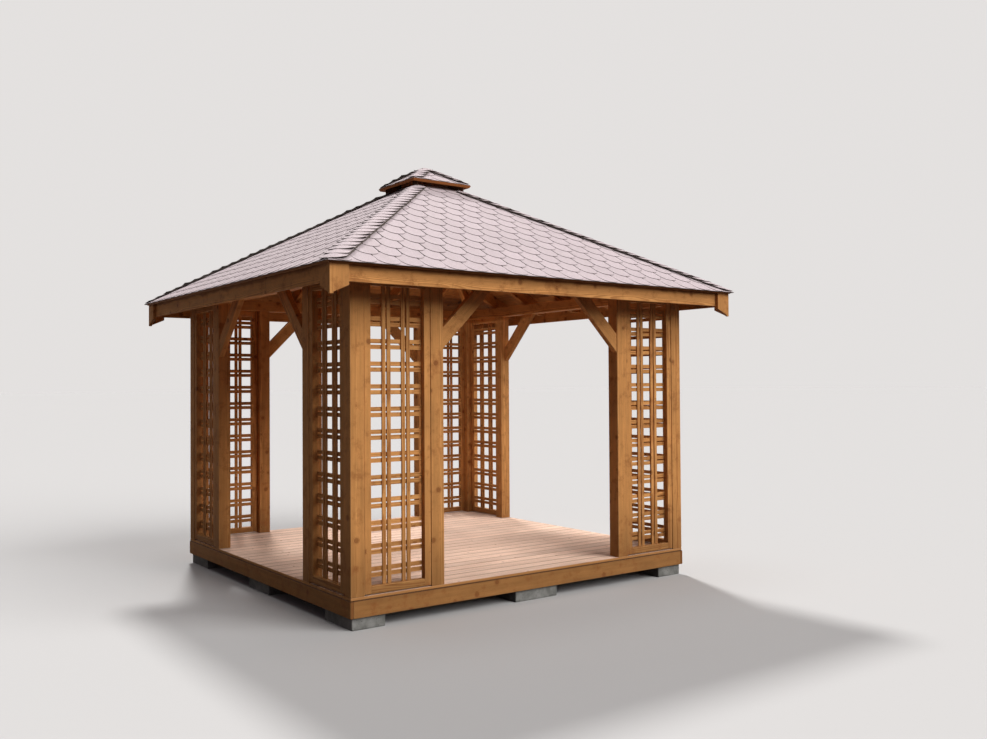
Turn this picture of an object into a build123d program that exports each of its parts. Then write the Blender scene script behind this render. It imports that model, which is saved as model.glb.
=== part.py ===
"""A square garden gazebo: an open softwood frame with lattice corners and a shingled hip roof.

The origin is on the ground under the middle of the floor. +Z is up, -Y is the front, and all lengths
are in millimetres. The four sides are alike, so most pieces are drawn once on a side's own planes and
repeated a quarter turn apart.
"""

from build123d import *
from math import cos, radians, sqrt, tan
import os

# Floor
span = 3000.0
deck_thickness = 20.0
rim_height = 110.0
rim_thickness = 24.0
rim_proud = 5.0
joist_width = 45.0
joist_count = 9

# Concrete blocks, as far as they stand above the ground
block_length = 380.0
block_width = 240.0
block_height = 80.0
block_inset = 20.0

# Posts, plates and knee braces
post_width = 100.0
post_height = 2020.0
plate_height = 90.0
brace_width = 100.0
brace_thickness = 45.0
brace_reach = 445.0
brace_recess = 4.0

# Lattice panels, between a corner post and a door post
panel_width = 500.0
panel_depth = 45.0
panel_recess = 4.0
panel_floor_gap = 8.0
frame_width = 48.0
slat_width = 28.0
slat_thickness = 10.0
slat_gap = 10.0
slat_pitch = 146.0
least_end_gap = 40.0

# Rafters
roof_pitch = 29.5
rafter_width = 45.0
rafter_depth = 100.0
seat_depth = 9.0
rafter_spacing = 500.0
jacks_each_way = 2
hip_width = 45.0
hip_extra_depth = 20.0
king_width = 130.0
king_drop = 40.0

# Eaves, as distances beyond the edge of the deck
fascia_reach = 252.0
fascia_height = 120.0
fascia_thickness = 22.0
corner_board_width = 130.0
corner_board_thickness = 26.0
corner_board_tip_drop = 81.0
corner_board_slope = 23.5
boarding_reach = 295.0
shingle_reach = 313.0

# Roof covering and the raised cap over the vent
boarding_thickness = 20.0
shingle_thickness = 8.0
vent_width = 320.0
cap_width = 570.0
cap_gap = 52.0
cap_boarding_thickness = 22.0
batten_width = 40.0
batten_length = 130.0
batten_inset = 48.0

# Levels, from the ground up
rim_bottom = block_height
rim_top = rim_bottom + rim_height
deck_top = rim_top + deck_thickness
plate_bottom = deck_top + post_height
plate_top = plate_bottom + plate_height

# Distances from the middle of the floor
deck_edge = span / 2
rim_edge = deck_edge + rim_proud
block_edge = rim_edge - block_inset
post_centre = deck_edge - post_width / 2
door_width = span - 4 * post_width - 2 * panel_width
door_post_centre = door_width / 2 + post_width / 2
panel_centre = door_width / 2 + post_width + panel_width / 2
fascia_edge = deck_edge + fascia_reach
fascia_inside = fascia_edge - fascia_thickness
corner_edge = fascia_edge + corner_board_thickness

# Roof planes, as heights over the middle of the floor
rise = tan(radians(roof_pitch))
upright = 1 / cos(radians(roof_pitch))
rafter_plumb = rafter_depth * upright
boarding_plumb = boarding_thickness * upright
shingle_plumb = shingle_thickness * upright
rafter_peak = plate_top + rafter_plumb - seat_depth + deck_edge * rise
shingle_bed_peak = rafter_peak + boarding_plumb
roof_peak = shingle_bed_peak + shingle_plumb
cap_boarding_peak = roof_peak + cap_gap
cap_bed_peak = cap_boarding_peak + cap_boarding_thickness * upright
cap_peak = cap_bed_peak + shingle_plumb
fascia_bottom = rafter_peak - fascia_edge * rise - fascia_height

side_turns = {"front": 0, "right": 90, "back": 180, "left": 270}
corner_turns = [45, 135, 225, 315]
panel_ends = {
    "front": ("left", "right"),
    "right": ("front", "back"),
    "back": ("right", "left"),
    "left": ("back", "front"),
}

os.makedirs("parts", exist_ok=True)


def elevation(turn, outward):
    """The upright plane of a side at a distance from the middle, as seen from outside."""
    side = Plane.XY.rotated((0, 0, turn))
    return Plane(origin=side.y_dir * -outward, x_dir=side.x_dir, z_dir=side.y_dir * -1)


def section(turn):
    """The upright plane across a side: its x runs outwards and its y runs up."""
    side = Plane.XY.rotated((0, 0, turn))
    return Plane(origin=(0, 0, 0), x_dir=side.y_dir * -1, z_dir=side.x_dir * -1)


def pyramid(peak):
    """The solid under the four roof planes that meet at a peak, down to the ground."""
    foot = peak / rise
    with BuildPart() as solid:
        for turn, mode in ((0, Mode.ADD), (90, Mode.INTERSECT)):
            with BuildSketch(section(turn)):
                with BuildLine():
                    Polyline((-foot, 0), (foot, 0), (0, peak), close=True)
                make_face()
            extrude(amount=foot, both=True, mode=mode)
    return solid.part


def save(name, piece):
    """Label a finished piece and write it to its own file."""
    piece.part.label = name
    export_step(piece.part, f"parts/{name}.step")


under_boarding = pyramid(rafter_peak)
under_rafters = pyramid(rafter_peak - rafter_plumb)
under_shingles = pyramid(shingle_bed_peak)
under_sky = pyramid(roof_peak)

# Concrete blocks in three rows of three
with BuildPart() as foundation_blocks:
    with BuildSketch(Plane.XY):
        with GridLocations(2 * block_edge - block_width, 2 * block_edge - block_length, 2, 2):
            Rectangle(block_width, block_length)
        with GridLocations(2 * block_edge - block_width, 0, 2, 1):
            Rectangle(block_width, block_length)
        with GridLocations(0, block_edge - block_width / 2, 1, 3):
            Rectangle(block_length, block_width)
    extrude(amount=block_height)
save("foundation_blocks", foundation_blocks)

# Rim boards: the side ones lap the ends of the front and back ones
for side, turn in side_turns.items():
    lap = rim_thickness if side in ("front", "back") else 0
    with BuildPart() as rim_board:
        with BuildSketch(elevation(turn, rim_edge)):
            with Locations((0, rim_bottom + rim_height / 2)):
                Rectangle(2 * (rim_edge - lap), rim_height)
        extrude(amount=-rim_thickness)
    save(f"rim_board_{side}", rim_board)

# Joists from the front rim to the back rim, the outer ones over the blocks
joist_pitch = (2 * block_edge - block_width) / (joist_count - 1)
with BuildPart() as floor_joists:
    with BuildSketch(Plane.XY.offset(rim_bottom)):
        with GridLocations(joist_pitch, 0, joist_count, 1):
            Rectangle(joist_width, 2 * (rim_edge - rim_thickness))
    extrude(amount=rim_height)
save("floor_joists", floor_joists)

with BuildPart() as floor_deck:
    with BuildSketch(Plane.XY.offset(rim_top)):
        Rectangle(span, span)
    extrude(amount=deck_thickness)
save("floor_deck", floor_deck)

with BuildPart() as corner_posts:
    with BuildSketch(Plane.XY.offset(deck_top)):
        with GridLocations(2 * post_centre, 2 * post_centre, 2, 2):
            Rectangle(post_width, post_width)
    extrude(amount=post_height)
save("corner_posts", corner_posts)

with BuildPart() as door_posts:
    with BuildSketch(Plane.XY.offset(deck_top)):
        with GridLocations(2 * door_post_centre, 2 * post_centre, 2, 2):
            Rectangle(post_width, post_width)
        with GridLocations(2 * post_centre, 2 * door_post_centre, 2, 2):
            Rectangle(post_width, post_width)
    extrude(amount=post_height)
save("door_posts", door_posts)

# Lattice panels: a frame, pairs of level slats flush with its back, and upright pairs before them
panel_height = post_height - panel_floor_gap
panel_middle = plate_bottom - panel_height / 2
inner_width = panel_width - 2 * frame_width
inner_height = panel_height - 2 * frame_width
pair_spacing = slat_width + slat_gap
pair_width = pair_spacing + slat_width
pair_columns = int((inner_width - pair_width - 2 * least_end_gap) // slat_pitch) + 1
pair_rows = int((inner_height - pair_width - 2 * least_end_gap) // slat_pitch) + 1
slat_back = deck_edge - panel_recess - panel_depth
for side, turn in side_turns.items():
    for end, way in zip(panel_ends[side], (-1, 1)):
        middle = (way * panel_centre, panel_middle)
        with BuildPart() as lattice:
            with BuildSketch(elevation(turn, deck_edge - panel_recess)):
                with Locations(middle):
                    Rectangle(panel_width, panel_height)
                    Rectangle(inner_width, inner_height, mode=Mode.SUBTRACT)
            extrude(amount=-panel_depth)
            with BuildSketch(elevation(turn, slat_back)):
                with Locations(middle):
                    with GridLocations(0, slat_pitch, 1, pair_rows):
                        with GridLocations(0, pair_spacing, 1, 2):
                            Rectangle(inner_width, slat_width)
            extrude(amount=slat_thickness)
            with BuildSketch(elevation(turn, slat_back + slat_thickness)):
                with Locations(middle):
                    with GridLocations(slat_pitch, 0, pair_columns, 1):
                        with GridLocations(pair_spacing, 0, 2, 1):
                            Rectangle(slat_width, inner_height)
            extrude(amount=slat_thickness)
        save(f"lattice_{side}_{end}", lattice)

# Top plates: the front and back ones run through, the side ones fit between them
with BuildPart() as plate_ring:
    with BuildSketch(Plane.XY.offset(plate_bottom)):
        Rectangle(span, span)
        Rectangle(span - 2 * post_width, span - 2 * post_width, mode=Mode.SUBTRACT)
    extrude(amount=plate_height)
for side, turn in side_turns.items():
    stop = 0 if side in ("front", "back") else post_width
    with BuildPart() as top_plate:
        with BuildSketch(elevation(turn, deck_edge)):
            with Locations((0, plate_bottom + plate_height / 2)):
                Rectangle(span - 2 * stop, plate_height)
        extrude(amount=-post_width)
    save(f"top_plate_{side}", top_plate)

# Knee braces, a pair in each doorway, just inside the posts' outer faces
brace_cut = brace_width * sqrt(2)
for side, turn in side_turns.items():
    with BuildPart() as knee_braces:
        with BuildSketch(elevation(turn, deck_edge - brace_recess)):
            for way in (-1, 1):
                jamb = way * door_width / 2
                with BuildLine():
                    Polyline(
                        (jamb, plate_bottom - brace_reach),
                        (jamb, plate_bottom - brace_reach + brace_cut),
                        (jamb - way * (brace_reach - brace_cut), plate_bottom),
                        (jamb - way * brace_reach, plate_bottom),
                        close=True,
                    )
                make_face()
        extrude(amount=-brace_thickness)
    save(f"knee_braces_{side}", knee_braces)

# The king block, where the rafters meet
king_bottom = rafter_peak - rafter_plumb - king_drop - king_width / 2 * rise
with BuildPart() as king_block:
    with BuildSketch(Plane.XY.offset(king_bottom)):
        RegularPolygon(king_width / 2, 8, major_radius=False, rotation=22.5)
    extrude(amount=rafter_peak - king_bottom)
    add(under_boarding, mode=Mode.INTERSECT)
save("king_block", king_block)

# Hip rafters: backed to the roof planes, seated on the plates and cut into the fascia's corners
hip_fall = rise / sqrt(2)
hip_end = fascia_inside * sqrt(2)
hip_bottom_peak = rafter_peak - rafter_plumb - hip_extra_depth
with BuildPart() as hip_rafters:
    for turn in corner_turns:
        with BuildSketch(section(turn)):
            with BuildLine():
                Polyline(
                    (king_width / 2, hip_bottom_peak - king_width / 2 * hip_fall),
                    (king_width / 2, rafter_peak),
                    (hip_end, rafter_peak - hip_end * hip_fall),
                    (hip_end, hip_bottom_peak - hip_end * hip_fall),
                    close=True,
                )
            make_face()
        extrude(amount=hip_width / 2, both=True)
    add(under_boarding, mode=Mode.INTERSECT)
    with BuildSketch(Plane.XY):
        Rectangle(2 * fascia_inside, 2 * fascia_inside)
    extrude(amount=roof_peak, mode=Mode.INTERSECT)
    add(plate_ring.part, mode=Mode.SUBTRACT)
save("hip_rafters", hip_rafters)

# Common rafters, one in the middle of each side
with BuildPart() as common_rafters:
    for turn in side_turns.values():
        with BuildSketch(Plane.XY.offset(plate_bottom).rotated((0, 0, turn))):
            with Locations((0, -(fascia_inside + king_width / 2) / 2)):
                Rectangle(rafter_width, fascia_inside - king_width / 2)
    extrude(amount=roof_peak - plate_bottom)
    add(under_boarding, mode=Mode.INTERSECT)
    add(under_rafters, mode=Mode.SUBTRACT)
    add(plate_ring.part, mode=Mode.SUBTRACT)
save("common_rafters", common_rafters)

# Jack rafters, from the fascia to the side of the hip
hip_side = hip_width / sqrt(2)
with BuildPart() as jack_rafters:
    for turn in side_turns.values():
        with BuildSketch(Plane.XY.offset(plate_bottom).rotated((0, 0, turn))):
            for count in range(1, jacks_each_way + 1):
                for way in (-1, 1):
                    near = count * rafter_spacing - rafter_width / 2
                    far = near + rafter_width
                    with BuildLine():
                        Polyline(
                            (way * near, -fascia_inside),
                            (way * far, -fascia_inside),
                            (way * far, -far - hip_side),
                            (way * near, -near - hip_side),
                            close=True,
                        )
                    make_face()
    extrude(amount=roof_peak - plate_bottom)
    add(under_boarding, mode=Mode.INTERSECT)
    add(under_rafters, mode=Mode.SUBTRACT)
    add(plate_ring.part, mode=Mode.SUBTRACT)
save("jack_rafters", jack_rafters)

# Fascia boards, with their tops bevelled to the boarding
for side, turn in side_turns.items():
    stop = 0 if side in ("front", "back") else fascia_thickness
    with BuildPart() as fascia:
        with BuildSketch(elevation(turn, fascia_edge)):
            with Locations((0, fascia_bottom)):
                Rectangle(2 * (fascia_edge - stop), 2 * fascia_height, align=(Align.CENTER, Align.MIN))
        extrude(amount=-fascia_thickness)
        add(under_boarding, mode=Mode.INTERSECT)
    save(f"fascia_{side}", fascia)

# Corner boards: two upright boards that cover each corner of the fascia, cut at a slant below
corner_tip = fascia_bottom - corner_board_tip_drop
corner_rise = corner_board_width * tan(radians(corner_board_slope))
with BuildPart() as corner_boards:
    for turn in side_turns.values():
        for way in (-1, 1):
            with BuildSketch(elevation(turn, corner_edge)):
                with BuildLine():
                    Polyline(
                        (way * corner_edge, corner_tip),
                        (way * corner_edge, plate_top),
                        (way * (corner_edge - corner_board_width), plate_top),
                        (way * (corner_edge - corner_board_width), corner_tip + corner_rise),
                        close=True,
                    )
                make_face()
            extrude(amount=-corner_board_thickness)
    add(under_boarding, mode=Mode.INTERSECT)
save("corner_boards", corner_boards)

# Roof boarding and shingles, four slopes of each, mitred at the hips and open under the cap
vent_edge = vent_width / 2
slope_layers = {
    "roof_boarding": (deck_edge + boarding_reach, under_shingles, under_boarding),
    "roof_shingles": (deck_edge + shingle_reach, under_sky, under_shingles),
}
for layer, (eave, above, below) in slope_layers.items():
    for side, turn in side_turns.items():
        with BuildPart() as slope:
            with BuildSketch(Plane.XY.offset(plate_bottom).rotated((0, 0, turn))):
                with BuildLine():
                    Polyline(
                        (-vent_edge, -vent_edge),
                        (vent_edge, -vent_edge),
                        (eave, -eave),
                        (-eave, -eave),
                        close=True,
                    )
                make_face()
            extrude(amount=roof_peak - plate_bottom)
            add(above, mode=Mode.INTERSECT)
            add(below, mode=Mode.SUBTRACT)
        save(f"{layer}_{side}", slope)

# Battens along the tops of the hips, which carry the cap
batten_end = (cap_width / 2 - batten_inset) * sqrt(2)
batten_start = batten_end - batten_length
with BuildPart() as cap_battens:
    for turn in corner_turns:
        with BuildSketch(Plane.XY.offset(plate_top).rotated((0, 0, turn))):
            with Locations((0, -(batten_start + batten_end) / 2)):
                Rectangle(batten_width, batten_length)
    extrude(amount=cap_peak - plate_top)
    add(pyramid(cap_boarding_peak), mode=Mode.INTERSECT)
    add(under_sky, mode=Mode.SUBTRACT)
save("cap_battens", cap_battens)

cap_layers = {
    "cap_boarding": (cap_bed_peak, cap_boarding_peak),
    "cap_shingles": (cap_peak, cap_bed_peak),
}
for layer, (top_peak, bottom_peak) in cap_layers.items():
    with BuildPart() as cap:
        with BuildSketch(Plane.XY.offset(plate_top)):
            Rectangle(cap_width, cap_width)
        extrude(amount=cap_peak - plate_top)
        add(pyramid(top_peak), mode=Mode.INTERSECT)
        add(pyramid(bottom_peak), mode=Mode.SUBTRACT)
    save(layer, cap)
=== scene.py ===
"""The looks of the garden gazebo: stained timber, grooved decking, shingles and a studio.

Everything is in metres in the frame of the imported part: the origin is on the ground under the
middle of the floor, +Z is up and -Y is the front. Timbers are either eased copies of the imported
solids, with rounded edges, or sticks carried along a line. Each corner of each face keeps two
attributes that the finishes read: "grain", its place in the timber's own frame with x along the
grain, and "look", which holds a chance number for the piece, how much the face is an eased edge,
and whether it is a cut end.
"""

import sys
from dataclasses import dataclass, field, replace
from enum import Enum
import logging

import bmesh
import bpy
from mathutils import Matrix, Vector
import numpy as np


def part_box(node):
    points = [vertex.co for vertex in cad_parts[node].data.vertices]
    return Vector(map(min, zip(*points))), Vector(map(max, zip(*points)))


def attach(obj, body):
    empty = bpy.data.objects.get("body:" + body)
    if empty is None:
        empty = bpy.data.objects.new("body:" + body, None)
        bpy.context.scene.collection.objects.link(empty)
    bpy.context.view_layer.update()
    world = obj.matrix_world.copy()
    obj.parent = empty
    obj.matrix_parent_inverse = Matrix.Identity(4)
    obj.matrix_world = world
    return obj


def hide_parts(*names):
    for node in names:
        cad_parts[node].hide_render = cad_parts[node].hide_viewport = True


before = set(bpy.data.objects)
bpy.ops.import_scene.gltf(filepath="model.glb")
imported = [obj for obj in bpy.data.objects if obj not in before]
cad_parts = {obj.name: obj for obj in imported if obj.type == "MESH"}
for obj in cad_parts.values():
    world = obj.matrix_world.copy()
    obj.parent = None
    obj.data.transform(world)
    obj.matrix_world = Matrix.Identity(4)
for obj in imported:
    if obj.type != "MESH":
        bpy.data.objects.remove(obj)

log = logging.getLogger("gazebo")
Array = np.ndarray
Colour = tuple[float, float, float]
Place = tuple[float, float, float]
Rings = list[tuple[Array | float, float]]
Band = tuple[float, float]

# The sides, and how many quarter turns each of them is from the front.
SIDE_TURNS = {"front": 0, "right": 1, "back": 2, "left": 3}
# The chance number of a piece that has none of its own.
MIDDLING = 0.5


def from_srgb(red: int, green: int, blue: int) -> Colour:
    """A colour as a screen shows it, in the linear values that shaders take.

    Args:
        red: Red from 0 to 255.
        green: Green from 0 to 255.
        blue: Blue from 0 to 255.

    Returns:
        The linear colour.
    """
    shown = np.array([red, green, blue]) / 255
    linear = np.where(shown <= 0.04045, shown / 12.92, ((shown + 0.055) / 1.055) ** 2.4)
    return tuple(float(channel) for channel in linear)


def unit(vector: Array | Place) -> Array:
    """The vector of length 1 in the same direction."""
    return np.asarray(vector, float) / np.linalg.norm(vector)


def turned(points: Array, quarters: int) -> Array:
    """Points of the front side turned to another side, by quarter turns about the upright axis.

    Args:
        points: Points whose last axis holds x, y and z.
        quarters: How many quarter turns, anticlockwise from above.

    Returns:
        The turned points: each quarter turn takes (x, y) to (-y, x).
    """
    for _ in range(quarters % 4):
        points = np.stack([-points[..., 1], points[..., 0], points[..., 2]], axis=-1)
    return points


def put(name: str, data: bpy.types.ID) -> bpy.types.Object:
    """Puts a mesh, a lamp or a camera into the scene as an object at the origin.

    Args:
        name: The object's name.
        data: What it shows.

    Returns:
        The new object.
    """
    thing = bpy.data.objects.new(name, data)
    bpy.context.scene.collection.objects.link(thing)
    return thing


def aimed(right: Array, upward: Array, back: Array, place: Array | Place) -> Matrix:
    """The matrix of a lamp or camera, which looks along the reverse of its third axis.

    Args:
        right: Its first axis.
        upward: Its second axis.
        back: Its third axis.
        place: Where it stands.

    Returns:
        The matrix, with the axes as its columns.
    """
    matrix = np.eye(4)
    matrix[:3, :3] = np.stack([right, upward, back], axis=1)
    matrix[:3, 3] = place
    return Matrix(matrix.tolist())


@dataclass
class Surface:
    """Part of a mesh: its points, its faces and what the corners of the faces carry."""

    points: Array
    faces: list[list[int]]
    grain: Array
    chance: float
    edge: Array
    end: Array


class Finish(Enum):
    """The finishes, by name."""

    STAINED_WOOD = "stained_wood"
    DECK_WOOD = "deck_wood"
    SHINGLE = "shingle"
    CONCRETE = "concrete"


def grid_faces(rows: int, columns: int, start: int = 0, closed: bool = False) -> list[list[int]]:
    """The quads of a grid whose points are numbered row by row.

    Args:
        rows: How many rows of points.
        columns: How many points in a row.
        start: The number of the grid's first point.
        closed: Whether the last column joins the first.

    Returns:
        One list of four point numbers for each quad.
    """
    across = columns if closed else columns - 1
    row, column = np.meshgrid(np.arange(rows - 1), np.arange(across), indexing="ij")
    here = start + row * columns + column
    beside = start + row * columns + (column + 1) % columns
    quads = np.stack([here, beside, beside + columns, here + columns], axis=-1)
    return quads.reshape(-1, 4).tolist()


def rounded_section(width: float, depth: float, radius: float) -> tuple[Array, Array]:
    """The outline of a timber with eased edges, going round anticlockwise.

    Each corner is a quarter circle of two chords: its centre plus the radius times the cosine and
    sine of the angle.

    Args:
        width: The size along the section's first axis.
        depth: The size along its second axis.
        radius: The radius of the eased edges.

    Returns:
        The outline's points, and for each side from one to the next whether it is on a corner.
    """
    corners = np.array([[1, 1], [-1, 1], [-1, -1], [1, -1]])
    middles = corners * (np.array([width, depth]) / 2 - radius)
    angles = np.arange(4)[:, None] * np.pi / 2 + np.linspace(0, np.pi / 2, 3)[None, :]
    arcs = middles[:, None, :] + radius * np.stack([np.cos(angles), np.sin(angles)], axis=-1)
    return arcs.reshape(-1, 2), np.tile([True, True, False], 4)


def eased_rings(length: float, ease: float) -> Rings:
    """The rings of a timber of some length, drawn in by the ease at both ends."""
    return [(0.0, ease), (ease, 0.0), (length - ease, 0.0), (length, ease)]


def carried(
    section: Array, on_corner: Array, rings: Rings, chance: float, cut_ends: bool = True
) -> Surface:
    """A profile carried along the x axis through rings, with both ends closed.

    A ring's points are the profile drawn in by the ring's inset towards its middle, at the ring's
    own places along x, which may differ from point to point where an end is cut at a slant.

    Args:
        section: The outline in y and z, anticlockwise seen from +x.
        on_corner: For each side of the outline, whether it is part of an eased edge.
        rings: The place along x, one number or one for each point, and the inset of each ring.
        chance: The piece's own chance number.
        cut_ends: Whether the end faces count as cut ends.

    Returns:
        The surface in the timber's own frame, where grain and points are the same.
    """
    count = len(section)
    middle = (section.max(axis=0) + section.min(axis=0)) / 2
    half = (section.max(axis=0) - section.min(axis=0)) / 2
    loops = []
    for along, inset in rings:
        drawn = middle + (section - middle) * (1 - inset / half)
        loops.append(np.column_stack([np.broadcast_to(along, count), drawn]))
    points = np.concatenate(loops)
    faces = grid_faces(len(rings), count, closed=True)
    edge = np.tile(on_corner.astype(float), len(rings) - 1)
    if len(rings) > 2:
        edge[:count] = 1.0
        edge[-count:] = 1.0
    faces.append(list(range(count))[::-1])
    faces.append(list(range(len(points) - count, len(points))))
    end = np.append(np.zeros(len(edge)), [float(cut_ends)] * 2)
    return Surface(points, faces, points.copy(), chance, np.append(edge, [0.0, 0.0]), end)


def stick(
    start: Array,
    finish: Array,
    across: Array,
    width: float,
    depth: float,
    radius: float,
    chance: float,
) -> Surface:
    """A straight timber with eased edges and ends, from one end of its middle line to the other.

    Its points are the start plus x, y and z times the directions along, across and square to both.

    Args:
        start: The first end of the middle line.
        finish: The other end.
        across: The unit direction of the width, square to the line.
        width: The size along across.
        depth: The size square to both.
        radius: The radius of the eased edges.
        chance: The piece's own chance number.

    Returns:
        The surface in place.
    """
    end_ease = 0.7 * radius
    along = unit(finish - start)
    section, on_corner = rounded_section(width, depth, radius)
    rings = eased_rings(float(np.linalg.norm(finish - start)), end_ease)
    surface = carried(section, on_corner, rings, chance)
    surface.points = start + surface.points @ np.stack([along, across, np.cross(along, across)])
    return surface


def slab(top: Array, bottom: Array, grain: Array, chance: float) -> Surface:
    """A closed sheet between two grids of points of the same shape, joined round their rim.

    Args:
        top: The upper side, rows by columns by three.
        bottom: The under side.
        grain: The place of each grid point in the sheet's own frame.
        chance: The piece's own chance number.

    Returns:
        The surface, whose rim and underside, where the bare felt shows, count as cut ends.
    """
    rows, columns = top.shape[:2]
    size = rows * columns
    number = np.arange(size).reshape(rows, columns)
    rim = np.concatenate([number[0, :-1], number[:-1, -1], number[-1, :0:-1], number[:0:-1, 0]])
    ahead = np.roll(rim, -1)
    sides = np.stack([rim, rim + size, ahead + size, ahead], axis=-1).tolist()
    under = [face[::-1] for face in grid_faces(rows, columns, start=size)]
    faces = grid_faces(rows, columns) + under + sides
    shown = (rows - 1) * (columns - 1)
    end = np.append(np.zeros(shown), np.ones(len(faces) - shown))
    points = np.concatenate([top.reshape(-1, 3), bottom.reshape(-1, 3)])
    both = np.concatenate([grain.reshape(-1, 3), grain.reshape(-1, 3)])
    return Surface(points, faces, both, chance, np.zeros(len(faces)), end)


def islands(count: int, edges: Array) -> Array:
    """Which joined piece each point belongs to: the least number spreads along the edges.

    Args:
        count: How many points there are.
        edges: The two point numbers of each edge.

    Returns:
        The piece's number for each point.
    """
    label = np.arange(count)
    while True:
        least = np.minimum(label[edges[:, 0]], label[edges[:, 1]])
        spread = label.copy()
        np.minimum.at(spread, edges[:, 0], least)
        np.minimum.at(spread, edges[:, 1], least)
        if np.array_equal(spread, label):
            return label
        label = spread


def read(items: bpy.types.bpy_prop_collection, label: str, width: int, kind: type = float) -> Array:
    """What each item of a mesh's collection holds under a label.

    Args:
        items: The mesh's points, edges, faces or an attribute's data.
        label: The name of the property.
        width: How many numbers an item holds.
        kind: The type of the numbers.

    Returns:
        One row for each item.
    """
    numbers = np.zeros(len(items) * width, dtype=kind)
    items.foreach_get(label, numbers)
    return numbers.reshape(-1, width)


def eased_mesh(node: str, radius: float) -> bpy.types.Mesh:
    """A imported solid's mesh, merged and with its outer edges eased.

    Args:
        node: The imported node.
        radius: How far the edges are eased.

    Returns:
        The mesh, whose faces hold 1 under "eased" where they are on an eased edge.
    """
    merge_distance, flat_angle, sharp_angle = 1e-5, 0.01, 0.25
    shape = bmesh.new()
    shape.from_mesh(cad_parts[node].data)
    bmesh.ops.remove_doubles(shape, verts=shape.verts, dist=merge_distance)
    bmesh.ops.dissolve_limit(shape, angle_limit=flat_angle, verts=shape.verts, edges=shape.edges)
    shape.normal_update()
    flag = shape.faces.layers.int.new("eased")
    outer = [
        edge
        for edge in shape.edges
        if edge.is_manifold and edge.calc_face_angle_signed(0) > sharp_angle
    ]
    eased = bmesh.ops.bevel(
        shape,
        geom=outer,
        offset=radius,
        segments=2,
        profile=0.5,
        affect="EDGES",
        clamp_overlap=True,
    )
    for face in eased["faces"]:
        face[flag] = 1
    mesh = bpy.data.meshes.new("eased")
    shape.to_mesh(mesh)
    shape.free()
    return mesh


def eased_copy(node: str, radius: float, chances: np.random.Generator) -> list[Surface]:
    """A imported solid's timbers with their outer edges eased.

    A timber's grain runs along its longest edge. A face whose normal lies near that is a cut end.

    Args:
        node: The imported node.
        radius: How far the edges are eased.
        chances: Where the pieces' chance numbers come from.

    Returns:
        One surface for each timber.
    """
    steep, end_facing = 0.9, 0.6
    mesh = eased_mesh(node, radius)
    points = read(mesh.vertices, "co", 3)
    edges = read(mesh.edges, "vertices", 2, np.int32)
    normals = read(mesh.polygons, "normal", 3)
    marks = read(mesh.attributes["eased"].data, "value", 1, np.int32).ravel()
    faces = [list(polygon.vertices) for polygon in mesh.polygons]
    bpy.data.meshes.remove(mesh)
    label = islands(len(points), edges)
    face_label = np.array([label[face[0]] for face in faces])
    spans = points[edges[:, 1]] - points[edges[:, 0]]
    lengths = np.linalg.norm(spans, axis=1)
    found = []
    for piece in np.unique(label):
        own = np.flatnonzero(label == piece)
        own_edges = np.flatnonzero(label[edges[:, 0]] == piece)
        longest = own_edges[np.argmax(lengths[own_edges])]
        along = spans[longest] / lengths[longest]
        helper = [0.0, 1.0, 0.0] if abs(along[2]) > steep else [0.0, 0.0, 1.0]
        across = unit(np.cross(helper, along))
        axes = np.stack([along, across, np.cross(along, across)])
        renumber = np.zeros(len(points), dtype=int)
        renumber[own] = np.arange(len(own))
        kept = np.flatnonzero(face_label == piece)
        timber = Surface(
            points=points[own],
            faces=[renumber[faces[index]].tolist() for index in kept],
            grain=(points[own] - points[own].mean(axis=0)) @ axes.T,
            chance=float(chances.random()),
            edge=marks[kept].astype(float),
            end=(np.abs(normals[kept] @ along) > end_facing).astype(float),
        )
        found.append(timber)
    return found


def add_piece(
    name: str,
    surfaces: list[Surface],
    material: bpy.types.Material,
    nodes: tuple[str, ...] = (),
) -> None:
    """Puts surfaces together as one object of the part and reports it.

    Args:
        name: The new object's name.
        surfaces: What it is made of.
        material: The material that dresses it.
        nodes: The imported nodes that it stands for.
    """
    points, grain, edge, end = (
        np.concatenate([getattr(surface, label) for surface in surfaces])
        for label in ("points", "grain", "edge", "end")
    )
    offsets = np.cumsum([0] + [len(surface.points) for surface in surfaces]).tolist()
    faces = [
        [offset + corner for corner in face]
        for offset, surface in zip(offsets, surfaces)
        for face in surface.faces
    ]
    mesh = bpy.data.meshes.new(name)
    mesh.from_pydata(points.tolist(), [], faces)
    corners = read(mesh.loops, "vertex_index", 1, np.int32).ravel()
    chance = np.repeat([s.chance for s in surfaces], [len(s.faces) for s in surfaces])
    look = np.column_stack([chance, edge, end])
    look = np.repeat(look, [len(face) for face in faces], axis=0)
    for label, values in (("grain", grain[corners]), ("look", look)):
        attribute = mesh.attributes.new(label, "FLOAT_VECTOR", "CORNER")
        attribute.data.foreach_set("vector", values.astype(np.float32).ravel())
    mesh.materials.append(material)
    mesh.update()
    piece = put(name, mesh)
    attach(piece, "root")
    if nodes:
        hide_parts(*nodes)
    log.info("%s: %d parts, %d faces", name, len(surfaces), len(faces))


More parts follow.
